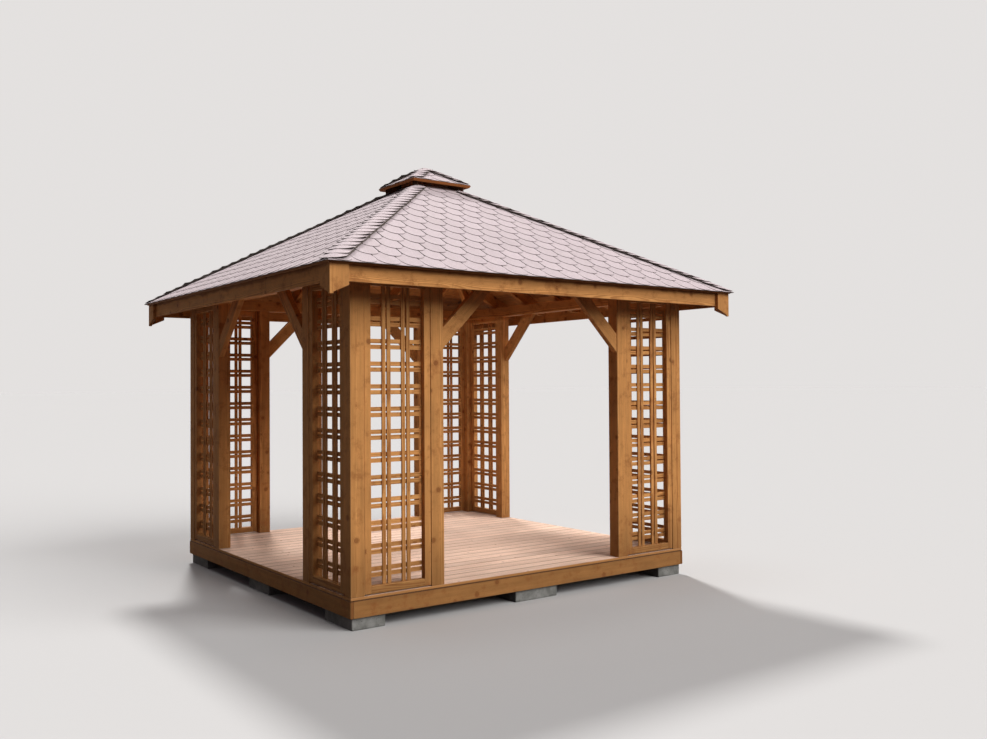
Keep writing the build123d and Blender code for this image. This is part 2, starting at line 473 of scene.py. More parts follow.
class Value:
    """A number that varies over a surface: one socket, on which arithmetic adds Math nodes."""

    def __init__(self, tree: "Tree", socket: bpy.types.NodeSocket) -> None:
        """Keeps the tree that new nodes go into and the socket that gives the number."""
        self.tree = tree
        self.socket = socket

    def __add__(self, other: "Value | float") -> "Value":
        """The sum of the two."""
        return self.tree.math("ADD", self, other)

    def __sub__(self, other: "Value | float") -> "Value":
        """This less the other."""
        return self.tree.math("SUBTRACT", self, other)

    def __rsub__(self, other: float) -> "Value":
        """The other less this."""
        return self.tree.math("SUBTRACT", other, self)

    def __mul__(self, other: "Value | float") -> "Value":
        """The product of the two."""
        return self.tree.math("MULTIPLY", self, other)

    def __truediv__(self, other: "Value | float") -> "Value":
        """This over the other."""
        return self.tree.math("DIVIDE", self, other)

    def __pow__(self, other: float) -> "Value":
        """This raised to the other."""
        return self.tree.math("POWER", self, other)

    __radd__ = __add__
    __rmul__ = __mul__

    def fraction(self) -> "Value":
        """What is left after the whole number is taken away."""
        return self.tree.math("FRACT", self)

    def rising(self, low: float, high: float) -> "Value":
        """A smooth step from 0 at low to 1 at high."""
        inputs = {"Value": self, "From Min": low, "From Max": high}
        return self.tree.node("ShaderNodeMapRange", {"interpolation_type": "SMOOTHSTEP"}, inputs)

    def falling(self, low: float, high: float) -> "Value":
        """A smooth step from 1 at low to 0 at high."""
        return 1.0 - self.rising(low, high)

    def within(self, rise: Band, fall: Band) -> "Value":
        """1 between two smooth steps, one that rises and a later one that falls."""
        return self.rising(*rise) * self.falling(*fall)


class Tree:
    """The shader nodes of a material or of the world."""

    def __init__(self, owner: bpy.types.Material | bpy.types.World) -> None:
        """Takes over the owner's nodes and clears them.

        Args:
            owner: The material or world.
        """
        self.owner = owner
        owner.use_nodes = True
        self.nodes = owner.node_tree.nodes
        self.links = owner.node_tree.links
        self.nodes.clear()

    @classmethod
    def of_material(cls, name: str) -> "Tree":
        """The empty tree of a new material."""
        return cls(bpy.data.materials.new(name))

    def node(
        self,
        kind: str,
        settings: dict[str, object],
        inputs: dict[str | int, object],
        output: str | int = 0,
    ) -> Value:
        """Adds a node, sets its settings first and then fills its sockets.

        Args:
            kind: The node's type.
            settings: Its settings.
            inputs: What goes into its sockets: a value, a colour or another node's output.
            output: The socket to hand back.

        Returns:
            The chosen output.
        """
        made = self.nodes.new(kind)
        for label, setting in settings.items():
            setattr(made, label, setting)
        for label, source in inputs.items():
            socket = made.inputs[label]
            if isinstance(source, Value):
                self.links.new(source.socket, socket)
            elif isinstance(source, tuple) and len(socket.default_value) == 4:
                socket.default_value = (*source, 1.0)
            else:
                socket.default_value = source
        return Value(self, made.outputs[output])

    def beside(self, value: Value, label: str | int) -> Value:
        """Another output of the node that gives a value."""
        return Value(self, value.socket.node.outputs[label])

    def math(self, operation: str, *terms: Value | float) -> Value:
        """One Math node on numbers."""
        return self.node("ShaderNodeMath", {"operation": operation}, dict(enumerate(terms)))

    def vector_math(self, operation: str, *terms: Value | Place, output: str = "Vector") -> Value:
        """One Vector Math node on vectors."""
        inputs = dict(enumerate(terms))
        return self.node("ShaderNodeVectorMath", {"operation": operation}, inputs, output)

    def attribute(self, label: str) -> Value:
        """The vector that the mesh keeps under a name."""
        return self.node("ShaderNodeAttribute", {"attribute_name": label}, {}, "Vector")

    def place(self) -> Value:
        """Where the point is in the part's frame."""
        return self.node("ShaderNodeTexCoord", {}, {}, "Object")

    def parts(self, vector: Value) -> tuple[Value, Value, Value]:
        """A vector's three numbers."""
        first = self.node("ShaderNodeSeparateXYZ", {}, {0: vector})
        return first, self.beside(first, 1), self.beside(first, 2)

    def vector(self, x: Value | float, y: Value | float, z: Value | float) -> Value:
        """Three numbers as a vector."""
        return self.node("ShaderNodeCombineXYZ", {}, {0: x, 1: y, 2: z})

    def height_and_reach(self) -> tuple[Value, Value]:
        """How high the point is, and how far out from the middle.

        Returns:
            The height z, and the larger of x and y without their signs.
        """
        x, y, z = self.parts(self.place())
        outer = self.math("MAXIMUM", self.math("ABSOLUTE", x), self.math("ABSOLUTE", y))
        return z, outer

    def noise(
        self, vector: Value, scale: float, detail: float = 3.0, roughness: float = 0.5
    ) -> Value:
        """Smooth noise from 0 to 1 about one half."""
        inputs = {"Vector": vector, "Scale": scale, "Detail": detail, "Roughness": roughness}
        return self.node("ShaderNodeTexNoise", {"noise_dimensions": "3D"}, inputs)

    def drawn_out(
        self,
        grain: tuple[Value, Value, Value],
        scales: Place,
        detail: float,
        roughness: float = 0.5,
        shift: Value | float = 0.0,
    ) -> Value:
        """Noise drawn out along the grain, where its scale is the smallest.

        Args:
            grain: The place in the timber's own frame: along, across and up through it.
            scales: What each of the three is multiplied by.
            detail: How many finer layers the noise has.
            roughness: How strong those layers are.
            shift: What is added across the timber, so that timbers differ.

        Returns:
            Smooth noise from 0 to 1 about one half.
        """
        along, across, up = (axis * scale for axis, scale in zip(grain, scales))
        return self.noise(self.vector(along, across + shift, up), 1.0, detail, roughness)

    def cells(self, vector: Value, scale: float, dimensions: str = "3D") -> tuple[Value, Value]:
        """Scattered cells.

        Args:
            vector: The place.
            scale: How many cells there are in a metre.
            dimensions: Over how many axes they are scattered, 2D or 3D.

        Returns:
            The distance to the nearest cell's middle, in cells, and that cell's own chance.
        """
        inputs = {"Vector": vector, "Scale": scale}
        distance = self.node("ShaderNodeTexVoronoi", {"voronoi_dimensions": dimensions}, inputs)
        return distance, self.parts(self.beside(distance, "Color"))[0]

    def balls(self, vector: Value, spacing: Place) -> tuple[Value, Value]:
        """Scattered balls, spaced unevenly along the three axes.

        Args:
            vector: The place in metres.
            spacing: The mean distance from ball to ball along each axis.

        Returns:
            The true distance to the nearest ball's middle, and that ball's own chance.
        """
        squeezed = self.vector_math("DIVIDE", vector, spacing)
        inputs = {"Vector": squeezed, "Scale": 1.0, "Randomness": 0.75}
        settings = {"voronoi_dimensions": "3D"}
        middle = self.node("ShaderNodeTexVoronoi", settings, inputs, "Position")
        apart = self.vector_math("SUBTRACT", squeezed, middle)
        apart = self.vector_math("MULTIPLY", apart, spacing)
        distance = self.vector_math("LENGTH", apart, output="Value")
        return distance, self.parts(self.beside(middle, "Color"))[0]

    def mix(self, share: Value | float, first: Value | Colour, second: Value | Colour) -> Value:
        """Two colours mixed: the first where the share is 0, the second where it is 1."""
        settings = {"data_type": "RGBA", "clamp_factor": True}
        return self.node("ShaderNodeMix", settings, {0: share, 6: first, 7: second}, 2)

    def layered(self, colour: Value, *coats: tuple[Value, Colour]) -> Value:
        """A colour under coats of other colours, mixed in one after the other.

        Args:
            colour: The colour underneath.
            coats: How much there is of each coat, from 0 to 1, and its colour.

        Returns:
            The colour with all its coats.
        """
        for share, coat in coats:
            colour = self.mix(share, colour, coat)
        return colour

    def tint(self, colour: Value, strength: Value) -> Value:
        """A colour made lighter or darker by a number."""
        inputs = {"Vector": colour, "Scale": strength}
        return self.node("ShaderNodeVectorMath", {"operation": "SCALE"}, inputs, "Vector")

    def seen(self) -> Value:
        """Which light paths lead to the camera.

        Returns:
            1 where the camera looks, straight or by way of gloss or glass, and 0 for other light.
        """
        first = self.node("ShaderNodeLightPath", {}, {}, "Is Camera Ray")
        straight_or_gloss = self.math("MAXIMUM", first, self.beside(first, "Is Glossy Ray"))
        return self.math("MAXIMUM", straight_or_gloss, self.beside(first, "Is Transmission Ray"))

    def finish(
        self,
        colour: Value,
        roughness: Value | float,
        height: Value,
        depth: float,
        specular: float,
        metallic: float = 0.0,
    ) -> bpy.types.Material:
        """Closes the tree with one surface shader.

        Args:
            colour: The base colour.
            roughness: The roughness.
            height: The bump's height from 0 to 1.
            depth: How many metres that height stands for.
            specular: The strength of the gloss.
            metallic: 1 for metal.

        Returns:
            The finished material.
        """
        inputs = {
            "Base Color": colour,
            "Roughness": roughness,
            "Metallic": metallic,
            "Specular IOR Level": specular,
            "Normal": self.node(
                "ShaderNodeBump", {}, {"Height": height, "Distance": depth, "Strength": 1.0}
            ),
        }
        self.close(self.node("ShaderNodeBsdfPrincipled", {}, inputs), "ShaderNodeOutputMaterial")
        return self.owner

    def close(self, surface: Value, kind: str) -> None:
        """Joins a shader to a new output of that kind."""
        output = self.nodes.new(kind)
        self.links.new(surface.socket, output.inputs["Surface"])


def late_wood(
    across: Value, up: Value, waver: Value, ring_width: float, start: float
) -> Value:
    """How far a face has come into the dark late wood of a growth ring.

    The rings are cylinders about the pith: the radius is the root of the two squares plus the
    waver, and its fraction in rings runs from early to late wood and falls back at the ring's end.

    Args:
        across: The distance from the pith across the timber.
        up: The distance from it through the timber.
        waver: What pushes the rings in and out.
        ring_width: The width of a ring.
        start: Where in a ring the wood begins to darken.

    Returns:
        0 in early wood and 1 in late wood.
    """
    radius = (across * across + up * up) ** 0.5 + waver
    return (radius / ring_width).fraction().within((start, 0.8), (0.88, 1.0))



@dataclass(frozen=True)
class StainedWood:
    """Planed softwood under a honey-brown stain, with growth rings, knots, streaks and dark ends.

    The scales are those of the noises along, across and through a timber. A band gives where a
    smooth step begins and ends: chance numbers, distances from a knot's middle, heights above the
    ground, or distances out from the middle of the floor, in metres.
    """

    name: str = "stained_wood"
    early: Colour = from_srgb(207, 149, 88)
    late: Colour = from_srgb(150, 91, 44)
    halo: Colour = from_srgb(132, 72, 34)
    knot: Colour = from_srgb(106, 62, 32)
    bark: Colour = from_srgb(82, 46, 24)
    worn: Colour = from_srgb(214, 164, 108)
    cut: Colour = from_srgb(118, 72, 36)
    # Painted shade: the dark line along the rim's top, where it meets the deck.
    joint_shadow: Colour = from_srgb(66, 38, 20)
    # Painted shadow: the band at the top of the fascia, under the eaves' overhang.
    eaves_shadow: Colour = from_srgb(104, 52, 22)
    ring_width: float = 0.0052
    ring_strength: float = 0.62
    waver_scales: Place = (3.0, 26.0, 26.0)
    streak_scales: Place = (0.9, 30.0, 30.0)
    mottle_scales: Place = (7.0, 45.0, 45.0)
    fibre_scales: Place = (14.0, 520.0, 520.0)
    knot_spacing: Place = (0.17, 0.07, 0.07)
    knot_chance: Band = (0.72, 0.74)
    knot_swell: Band = (0.006, 0.032)
    knot_core: Band = (0.006, 0.016)
    bark_inside: Band = (0.009, 0.014)
    bark_outside: Band = (0.014, 0.018)
    # Painted shade towards the ground: where it fades out, and how dark it gets.
    low_shade_height: Band = (0.14, 0.72)
    low_shade_strength: float = 0.42
    # Where the painted shade along the rim's top lies: its heights and its reach out from the
    # middle.
    joint_bottom: Band = (0.1835, 0.187)
    joint_top: Band = (0.1915, 0.1925)
    joint_reach: Band = (1.488, 1.496)
    # Where the painted shadow under the eaves lies: its heights and its reach out from the middle.
    eaves_height: Band = (2.296, 2.322)
    eaves_reach: Band = (1.735, 1.745)
    bump_depth: float = 0.0009
    gloss: float = 0.12

    def rings(
        self, tree: Tree, grain: tuple[Value, Value, Value], chance: Value, swell: Value
    ) -> Value:
        """The growth rings, about a pith that lies to one side and wanders along the timber.

        A face cut along a ring shows long arches, and one cut across it shows straight lines.

        Args:
            tree: The material's tree.
            grain: The place in the timber's own frame.
            chance: The timber's chance number, which sets where the pith lies.
            swell: How strongly a knot pushes the rings aside.

        Returns:
            0 in early wood and 1 in late wood.
        """
        along, across, up = grain
        drift = tree.noise(tree.vector(along * 0.8, chance * 60.0, 0.0), 1.0, 2.0) - 0.5
        pith_across = ((chance * 7.13).fraction() - 0.5) * 0.12 + drift * 0.05
        pith_up = 0.035 + (chance * 3.77).fraction() * 0.07 + drift * 0.03
        waver = tree.drawn_out(grain, self.waver_scales, 3.0) - 0.5
        pushed = waver * 0.006 + swell * 0.012
        return late_wood(across - pith_across, up + pith_up, pushed, self.ring_width, 0.25)

    def make(self) -> bpy.types.Material:
        """Builds the material, with painted shade towards the ground and along the rim's top, and a
        band of painted shadow under the eaves.

        Knots lie at scattered places along and around the pith: a dark core, a ring of bark and a
        halo, in which the growth rings swell.

        Returns:
            The material.
        """
        tree = Tree.of_material(self.name)
        grain = tree.parts(tree.attribute("grain"))
        along, across, up = grain
        chance, edge, end = tree.parts(tree.attribute("look"))
        scattered = tree.vector(along + chance * 37.0, across + chance * 5.0, up + chance * 3.0)
        distance, cell = tree.balls(scattered, self.knot_spacing)
        present = cell.rising(*self.knot_chance)
        swell = distance.falling(*self.knot_swell) * present
        core = distance.falling(*self.knot_core) * present
        bark = distance.within(self.bark_inside, self.bark_outside) * present
        late = self.rings(tree, grain, chance, swell)
        streak = tree.drawn_out(grain, self.streak_scales, 4.0, 0.6, chance * 40.0)
        patch = tree.noise(tree.place(), 4.0, 4.0)
        mottle = tree.drawn_out(grain, self.mottle_scales, 3.0, 0.6)
        blotch = tree.noise(tree.place(), 11.0, 5.0, 0.68).rising(0.50, 0.70)
        own_shade = (chance * 13.7).fraction()
        level = 0.15 + streak * 0.66 + patch * 0.56 + mottle * 0.46 + own_shade * 0.18
        z, outer = tree.height_and_reach()
        # Painted shade: the timbers darken towards the ground.
        low_shade = (z - (patch - 0.5) * 0.5).falling(*self.low_shade_height)
        level = level * (1.0 - low_shade * self.low_shade_strength)
        # Painted shade: a dark line along the top of the rim, below the deck's edge.
        joint = z.within(self.joint_bottom, self.joint_top) * outer.rising(*self.joint_reach)
        # Painted shadow: a band at the top of the fascia, under the eaves, with a ragged lower
        # edge.
        runs = (z + patch * 0.07 + streak * 0.04).rising(*self.eaves_height)
        eaves_shadow_mask = runs * outer.rising(*self.eaves_reach)
        stained = tree.mix(late * self.ring_strength, self.early, self.late)
        colour = tree.layered(
            tree.tint(stained, level),
            (blotch * 0.46, self.halo),
            (swell * 0.55, self.halo),
            (edge * 0.3, self.worn),
            (core * 0.28, self.knot),
            (bark * 0.34, self.bark),
            (end * 0.7, self.cut),
            (joint * 0.85, self.joint_shadow),
            (eaves_shadow_mask * 0.65, self.eaves_shadow),
        )
        fibre = tree.drawn_out(grain, self.fibre_scales, 2.0)
        height = late * 0.35 + fibre * 0.5 + core * 0.4
        return tree.finish(colour, 0.58 + fibre * 0.2, height, self.bump_depth, self.gloss)


CAP_WOOD = StainedWood(
    name="cap_wood",
    early=from_srgb(150, 92, 48),
    late=from_srgb(108, 60, 30),
    worn=from_srgb(160, 104, 58),
    cut=from_srgb(90, 52, 28),
)
# Near-black wood for the cap's battens: painted shade for the dark gap under the cap.
BATTEN_WOOD_PAINTED_SHADE = StainedWood(
    name="batten_wood_painted_shade",
    early=from_srgb(74, 46, 28),
    late=from_srgb(52, 32, 20),
    worn=from_srgb(74, 46, 28),
    cut=from_srgb(52, 32, 20),
)


@dataclass(frozen=True)
class DeckWood:
    """Dry, pinkish-brown grooved decking with dust in its grooves.

    The grain's z is measured from the board's middle, so its top lies at half its thickness.
    """

    name: str = "deck_wood"
    early: Colour = from_srgb(228, 199, 179)
    late: Colour = from_srgb(188, 150, 126)
    groove: Colour = from_srgb(126, 92, 72)
    knot: Colour = from_srgb(128, 88, 62)
    stain: Colour = from_srgb(184, 128, 70)
    # Painted shade at the foot of the deck's honey edge, where it meets the rim.
    joint_shadow: Colour = from_srgb(66, 38, 20)
    ring_width: float = 0.006
    waver_scales: Place = (3.0, 30.0, 30.0)
    streak_scales: Place = (1.1, 28.0, 1.0)
    fibre_scales: Place = (16.0, 480.0, 60.0)
    knots_a_metre: float = 3.6
    top: float = 0.010
    board_half: float = 0.0576
    rim: float = 1.4975
    rim_blend: float = 0.0006
    # The heights of that painted shade.
    joint_shadow_height: Band = (0.1925, 0.1955)
    bump_depth: float = 0.001
    gloss: float = 0.3

    def make(self) -> bpy.types.Material:
        """Builds the material: rings about a distant pith, scattered knots and darker grooves.

        The deck's outer edge, past the rim distance from the middle, has the frame's honey stain,
        with painted shade at its foot where it meets the rim.

        Returns:
            The material.
        """
        tree = Tree.of_material(self.name)
        grain = tree.parts(tree.attribute("grain"))
        along, across, up = grain
        chance = tree.parts(tree.attribute("look"))[0]
        drift = tree.noise(tree.vector(along * 0.9, chance * 90.0, 0.0), 1.0, 2.0) - 0.5
        from_across = across - ((chance * 5.31).fraction() - 0.5) * 0.1 - drift * 0.05
        from_up = up + 0.05 + drift * 0.03
        waver = tree.drawn_out(grain, self.waver_scales, 3.0) - 0.5
        late = late_wood(from_across, from_up, waver * 0.005, self.ring_width, 0.2)
        spots = tree.vector(along + chance * 23.0, across + chance * 3.0, 0.0)
        distance, cell = tree.cells(spots, self.knots_a_metre, "2D")
        core = (distance / self.knots_a_metre).falling(0.006, 0.011) * cell.rising(0.5, 0.52)
        streak = tree.drawn_out(grain, self.streak_scales, 4.0, 0.6, chance * 50.0)
        patch = tree.noise(tree.place(), 3.1, 4.0)
        level = 0.50 + streak * 0.44 + patch * 0.34 + (chance * 17.3).fraction() * 0.2
        sunk = up.falling(self.top - 0.0016, self.top - 0.0004) * up.rising(0.0, 0.004)
        aside = tree.math("ABSOLUTE", across)
        seam = aside.rising(self.board_half - 0.009, self.board_half - 0.003)
        colour = tree.layered(
            tree.tint(tree.mix(late * 0.5, self.early, self.late), level),
            (sunk * 0.75, self.groove),
            (seam * 0.45, self.groove),
            (core * 0.8, self.knot),
        )
        z, outer = tree.height_and_reach()
        honey = tree.tint(tree.mix(late * 0.4, self.stain, self.groove), level)
        # Painted shade: the foot of the honey edge darkens where it meets the rim.
        honey = tree.mix(z.falling(*self.joint_shadow_height) * 0.85, honey, self.joint_shadow)
        past_rim = outer.rising(self.rim - self.rim_blend, self.rim + self.rim_blend)
        colour = tree.mix(past_rim, colour, honey)
        fibre = tree.drawn_out(grain, self.fibre_scales, 2.0)
        height = late * 0.3 + fibre * 0.6
        return tree.finish(colour, 0.66 + fibre * 0.2, height, self.bump_depth, self.gloss)


@dataclass(frozen=True)
class Shingle:
    """Pale pinkish-grey mineral granules pressed into bitumen, dark where the felt is cut."""

    name: str = "shingle"
    pale: Colour = from_srgb(206, 192, 196)
    dark: Colour = from_srgb(172, 158, 161)
    stain: Colour = from_srgb(178, 164, 164)
    felt: Colour = from_srgb(84, 75, 66)
    granules_a_metre: float = 420.0
    bump_depth: float = 0.0012
    gloss: float = 0.2

    def make(self) -> bpy.types.Material:
        """Builds the material: each granule is a small cell with its own shade.

        Returns:
            The material.
        """
        tree = Tree.of_material(self.name)
        place = tree.place()
        chance, _, end = tree.parts(tree.attribute("look"))
        along, upward, _ = tree.parts(tree.attribute("grain"))
        distance, cell = tree.cells(place, self.granules_a_metre)
        clump = tree.noise(place, 110.0, 2.0, 0.6)
        wash = tree.noise(tree.vector(along * 9.0, upward * 1.6, chance * 8.0), 1.0, 4.0, 0.6)
        patch = tree.noise(place, 2.0, 3.0)
        colour = tree.mix(cell * 0.55, self.pale, self.dark)
        colour = tree.mix(wash.rising(0.45, 0.8) * 0.35, colour, self.stain)
        colour = tree.tint(colour, 0.72 + clump * 0.36 + patch * 0.12 + chance * 0.07)
        colour = tree.mix(end * 0.92, colour, self.felt)
        return tree.finish(colour, 0.9 - cell * 0.15, distance, self.bump_depth, self.gloss)


@dataclass(frozen=True)
class Concrete:
    """Pressed grey concrete with pits, sand and paler dust."""

    name: str = "concrete"
    body: Colour = from_srgb(148, 148, 144)
    shade: Colour = from_srgb(108, 108, 104)
    pit: Colour = from_srgb(66, 65, 62)
    pits_a_metre: float = 65.0
    roughness: float = 0.9
    bump_depth: float = 0.004
    gloss: float = 0.25

    def make(self) -> bpy.types.Material:
        """Builds the material: clouds of dust, grains of sand and scattered pits.

        Returns:
            The material.
        """
        tree = Tree.of_material(self.name)
        place = tree.place()
        cloud = tree.noise(place, 9.0, 6.0, 0.65)
        sand = tree.noise(place, 260.0, 3.0, 0.6)
        distance, cell = tree.cells(place, self.pits_a_metre)
        pits = distance.falling(0.1, 0.28) * cell.rising(0.6, 0.65)
        colour = tree.mix(cloud.rising(0.35, 0.7), self.shade, self.body)
        colour = tree.tint(colour, 0.8 + sand * 0.4)
        colour = tree.mix(pits * 0.8, colour, self.pit)
        height = sand * 0.5 + cloud * 0.3 - pits * 0.8
        return tree.finish(colour, self.roughness, height, self.bump_depth, self.gloss)


@dataclass(frozen=True)
class Zinc:
    """Passivated zinc of the screws, dulled out of doors."""

    name: str = "zinc"
    bright: Colour = from_srgb(168, 160, 138)
    dull: Colour = from_srgb(104, 96, 82)
    bump_depth: float = 0.0002
    gloss: float = 0.5

    def make(self) -> bpy.types.Material:
        """Builds the material: bright metal with dull spots.

        Returns:
            The material.
        """
        tree = Tree.of_material(self.name)
        spots = tree.noise(tree.place(), 300.0)
        colour = tree.mix(spots.rising(0.4, 0.65), self.bright, self.dull)
        return tree.finish(colour, 0.35 + spots * 0.25, spots, self.bump_depth, self.gloss, 1.0)


@dataclass
class Palette:
    """The materials, made once, and the source of chance numbers."""

    wood: bpy.types.Material = field(default_factory=StainedWood().make)
    cap_wood: bpy.types.Material = field(default_factory=CAP_WOOD.make)
    batten_wood_painted_shade: bpy.types.Material = field(default_factory=BATTEN_WOOD_PAINTED_SHADE.make)
    deck: bpy.types.Material = field(default_factory=DeckWood().make)
    shingle: bpy.types.Material = field(default_factory=Shingle().make)
    concrete: bpy.types.Material = field(default_factory=Concrete().make)
    zinc: bpy.types.Material = field(default_factory=Zinc().make)
    chances: np.random.Generator = field(default_factory=lambda: np.random.default_rng(7))

    def chance(self) -> float:
        """The next chance number."""
        return float(self.chances.random())


def span_of(node: str) -> tuple[Array, Array]:
    """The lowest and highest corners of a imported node."""
    low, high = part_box(node)
    return np.array(low), np.array(high)


def front_span(node: str, quarters: int) -> tuple[Array, Array]:
    """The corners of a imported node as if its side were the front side."""
    corners = turned(np.stack(span_of(node)), -quarters)
    return corners.min(axis=0), corners.max(axis=0)


@dataclass
class Assembly:
    """A part of the gazebo, which takes its materials and chance numbers from one palette."""

    palette: Palette

    def ease_node(
        self,
        name: str,
        node: str,
        ease: float,
        finish: Finish = Finish.STAINED_WOOD,
        material: bpy.types.Material | None = None,
    ) -> None:
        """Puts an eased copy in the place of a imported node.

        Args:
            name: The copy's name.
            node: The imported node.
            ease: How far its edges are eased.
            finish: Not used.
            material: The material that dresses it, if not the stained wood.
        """
        timbers = eased_copy(node, ease, self.palette.chances)
        add_piece(name, timbers, material or self.palette.wood, (node,))


@dataclass
class Floor(Assembly):
    """Concrete blocks, rim boards, joists and the grooved deck with its screws."""

    board_count: int = 25
    board_gap: float = 0.005
    board_end_ease: float = 0.0015
    groove_count: int = 9
    groove_width: float = 0.0052
    groove_depth: float = 0.0018
    groove_margin: float = 0.0105
    ease: float = 0.003
    rim_ease: float = 0.005
    block_ease: float = 0.006
    joist_count: int = 9
    joist_half: float = 0.0225
    screw_radius: float = 0.0042
    screw_spread: float = 0.075
    screw_depth: float = 0.0006
    screw_edge: float = 0.1
    screw_sides: int = 10

    def board_section(self, width: float, depth: float) -> tuple[Array, Array]:
        """The outline of a deck board with its grooves on top.

        A groove goes down, across and up again from points at fixed shares of its width.

        Args:
            width: The board's width.
            depth: Its thickness.

        Returns:
            The outline's points and which of its sides are eased edges.
        """
        half, top, ease = width / 2, depth / 2, self.ease
        outermost = half - self.groove_margin
        middles = np.linspace(outermost, -outermost, self.groove_count)
        steps = np.array([0.5, 0.3, -0.3, -0.5]) * self.groove_width
        depths = top + np.array([0.0, -1.0, -1.0, 0.0]) * self.groove_depth
        grooves = np.stack(np.broadcast_arrays(middles[:, None] + steps, depths), axis=-1)
        under = [[-half, ease - top], [ease - half, -top], [half - ease, -top], [half, ease - top]]
        right = [[half, top - ease], [half - ease, top]]
        left = [[ease - half, top], [-half, top - ease]]
        points = np.concatenate([np.array(under + right), grooves.reshape(-1, 2), np.array(left)])
        on_corner = np.zeros(len(points), dtype=bool)
        on_corner[[0, 2, 4, len(points) - 2]] = True
        return points, on_corner

    def rows(self) -> tuple[Array, float]:
        """Where the deck's boards lie, from front to back with small gaps between them.

        Returns:
            The middles of the boards along y, and their width.
        """
        low, high = span_of("floor_deck")
        pitch = (high[1] - low[1] + self.board_gap) / self.board_count
        width = pitch - self.board_gap
        return low[1] + width / 2 + np.arange(self.board_count) * pitch, width

    def boards(self) -> list[Surface]:
        """The deck boards, which run from left to right.

        Returns:
            One surface for each board.
        """
        low, high = span_of("floor_deck")
        middles, width = self.rows()
        section, on_corner = self.board_section(width, high[2] - low[2])
        rings = eased_rings(high[0] - low[0], self.board_end_ease)
        found = []
        for middle in middles:
            board = carried(section, on_corner, rings, self.palette.chance())
            board.points = board.points + np.array([low[0], middle, (low[2] + high[2]) / 2])
            found.append(board)
        return found

    def screws(self) -> list[Surface]:
        """Two screws where each board crosses each joist, apart from those at the deck's edge.

        A head is a low dome with a sunk middle: rings whose radius and height follow a profile.

        Returns:
            One surface for each head.
        """
        _, high = span_of("floor_deck")
        reach = span_of("floor_joists")[1][0] - self.joist_half
        joists = np.linspace(-reach, reach, self.joist_count)
        offsets = np.array([-0.5, 0.5]) * self.screw_spread
        x, y, offset = np.meshgrid(joists, self.rows()[0], offsets, indexing="ij")
        places = np.stack([x, y + offset, np.full_like(x, high[2] - self.screw_depth)], axis=-1)
        places = places.reshape(-1, 3)
        places = places[np.abs(places[:, :2]).max(axis=1) < high[0] - self.screw_edge]
        angle = np.linspace(0, 2 * np.pi, self.screw_sides, endpoint=False)
        profile = np.array([[0.28, -0.35], [0.4, 0.05], [0.8, 0.1], [1.0, 0.0], [0.9, -0.3]])
        radius, height = (profile * self.screw_radius).T[:, :, None]
        rings = np.broadcast_arrays(-radius * np.sin(angle), radius * np.cos(angle), height)
        head = np.stack(rings, axis=-1).reshape(-1, 3)
        faces = [face[::-1] for face in grid_faces(len(profile), len(angle), closed=True)]
        faces.append(list(range(len(angle))))
        faces.append(list(range(len(head) - len(angle), len(head)))[::-1])
        none = np.zeros(len(faces))
        return [
            Surface(place + head, faces, place + head, self.palette.chance(), none, none)
            for place in places
        ]

    def build(self) -> None:
        """Builds the floor's pieces."""
        palette = self.palette
        concrete = (Finish.CONCRETE, palette.concrete)
        self.ease_node("blocks", "foundation_blocks", self.block_ease, *concrete)
        for side in SIDE_TURNS:
            self.ease_node(f"rim_{side}", f"rim_board_{side}", self.rim_ease)
        self.ease_node("joists", "floor_joists", self.ease)
        add_piece("deck_boards", self.boards(), palette.deck, ("floor_deck",))
        add_piece("deck_screws", self.screws(), palette.zinc)


